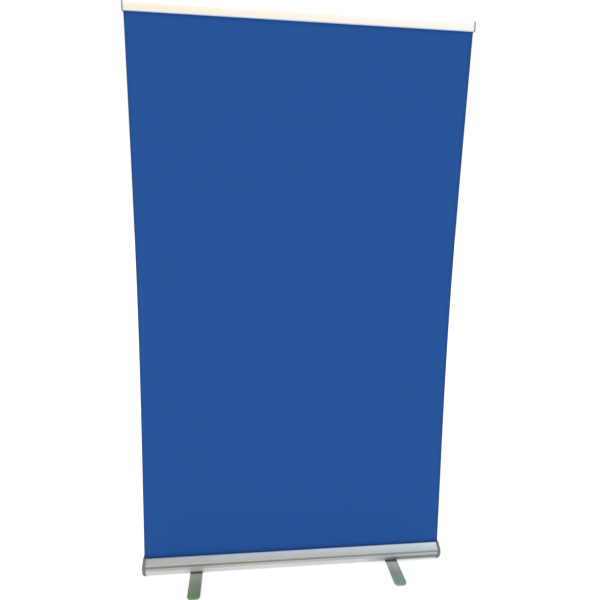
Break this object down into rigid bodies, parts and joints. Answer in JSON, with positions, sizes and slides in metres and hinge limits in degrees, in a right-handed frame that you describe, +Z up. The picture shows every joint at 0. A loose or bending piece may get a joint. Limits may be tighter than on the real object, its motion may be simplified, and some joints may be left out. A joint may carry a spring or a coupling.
{
  "type": "roll-up banner stand",
  "caption": "Floor-standing roll-up banner: cassette on two swivel feet, spring roller, plain blue sheet, top clamp rail and sectional rear pole.",
  "frame": {"origin": "on the floor, midway between the pivots of the two feet, which is the bottom centre of the bounding box", "axes": "+Z up along the banner, +X to the right of someone facing the banner's front, +Y towards the back, so the front faces -Y"},
  "size_m": [1.21, 0.342, 2.0955],
  "materials": {
    "banner_film": "matt printed film, plain blue",
    "anodised": "satin anodised",
    "cap_plastic": "moulded grey",
    "cream_paint": "satin cream-white",
    "rail_cap": "moulded light grey",
    "foot_steel": "brushed along its length",
    "screw_steel": "zinc plated",
    "spring_steel": "oiled wire",
    "rubber": "matt",
    "black_plastic": "moulded black",
    "white_film": "plain white film",
    "cord": "braided"
  },
  "bodies": {
    "base": {"cassette_housing": "anodised", "left_end_cap": "cap_plastic", "right_end_cap": "cap_plastic", "left_cap_screw_1": "screw_steel", "left_cap_screw_2": "screw_steel", "left_cap_screw_3": "screw_steel", "right_cap_screw_1": "screw_steel", "right_cap_screw_2": "screw_steel", "right_cap_screw_3": "screw_steel", "left_bumper_front": "rubber", "left_bumper_rear": "rubber", "right_bumper_front": "rubber", "right_bumper_rear": "rubber", "spring_arbor": "screw_steel", "bearing_pin": "screw_steel", "pole_socket": "black_plastic", "banner_sheet": "banner_film", "banner_leader": "white_film"},
    "roller": {"roller_tube": "anodised", "banner_wrap": "white_film", "left_roller_plug": "black_plastic", "right_roller_plug": "black_plastic", "torsion_spring": "spring_steel"},
    "left_foot": {"left_foot_bar": "foot_steel", "left_pivot_bolt": "screw_steel", "left_friction_washer": "black_plastic", "left_foot_pad_front": "rubber", "left_foot_pad_rear": "rubber", "left_spread_washer": "screw_steel", "left_lock_nut": "screw_steel"},
    "right_foot": {"right_foot_bar": "foot_steel", "right_pivot_bolt": "screw_steel", "right_friction_washer": "black_plastic", "right_foot_pad_front": "rubber", "right_foot_pad_rear": "rubber", "right_spread_washer": "screw_steel", "right_lock_nut": "screw_steel"},
    "pole": {"pole_lower": "anodised", "pole_middle": "anodised", "pole_upper": "anodised", "pole_ferrule_lower": "black_plastic", "pole_ferrule_upper": "black_plastic", "pole_foot_plug": "black_plastic", "pole_hook_head": "black_plastic", "shock_cord": "cord"},
    "top_rail": {"rail_back_profile": "cream_paint", "rail_end_cap_left": "rail_cap", "rail_end_cap_right": "rail_cap", "rail_grip_strip": "rubber"},
    "rail_jaw": {"rail_front_jaw": "cream_paint"}
  },
  "joints": [
    {"name": "rail_slide", "type": "slide", "parent": "base", "child": "top_rail", "axis": [0, 0, 1], "range_m": [-1.994, 0.012], "deforming": ["banner_sheet"]},
    {"name": "roller_spin", "type": "hinge", "parent": "base", "child": "roller", "pos_m": [0, -0.002, 0.04], "axis": [1, 0, 0], "range_deg": [-45, 6500]},
    {"name": "rail_jaw_hinge", "type": "hinge", "parent": "top_rail", "child": "rail_jaw", "pos_m": [0, -0.0078, 2.0922], "axis": [-1, 0, 0], "range_deg": [0, 55]},
    {"name": "left_foot_swivel", "type": "hinge", "parent": "base", "child": "left_foot", "pos_m": [-0.397, 0, 0.004], "axis": [0, 0, 1], "range_deg": [-90, 90]},
    {"name": "right_foot_swivel", "type": "hinge", "parent": "base", "child": "right_foot", "pos_m": [0.397, 0, 0.004], "axis": [0, 0, 1], "range_deg": [-90, 90]},
    {"name": "pole_lean", "type": "hinge", "parent": "base", "child": "pole", "pos_m": [0, 0.03, 0.028], "axis": [-1, 0, 0], "range_deg": [0, 3]}
  ],
  "couplings": [
    {"joint": "roller_spin", "follows": "rail_slide", "rad_per_m": -56.72}
  ]
}
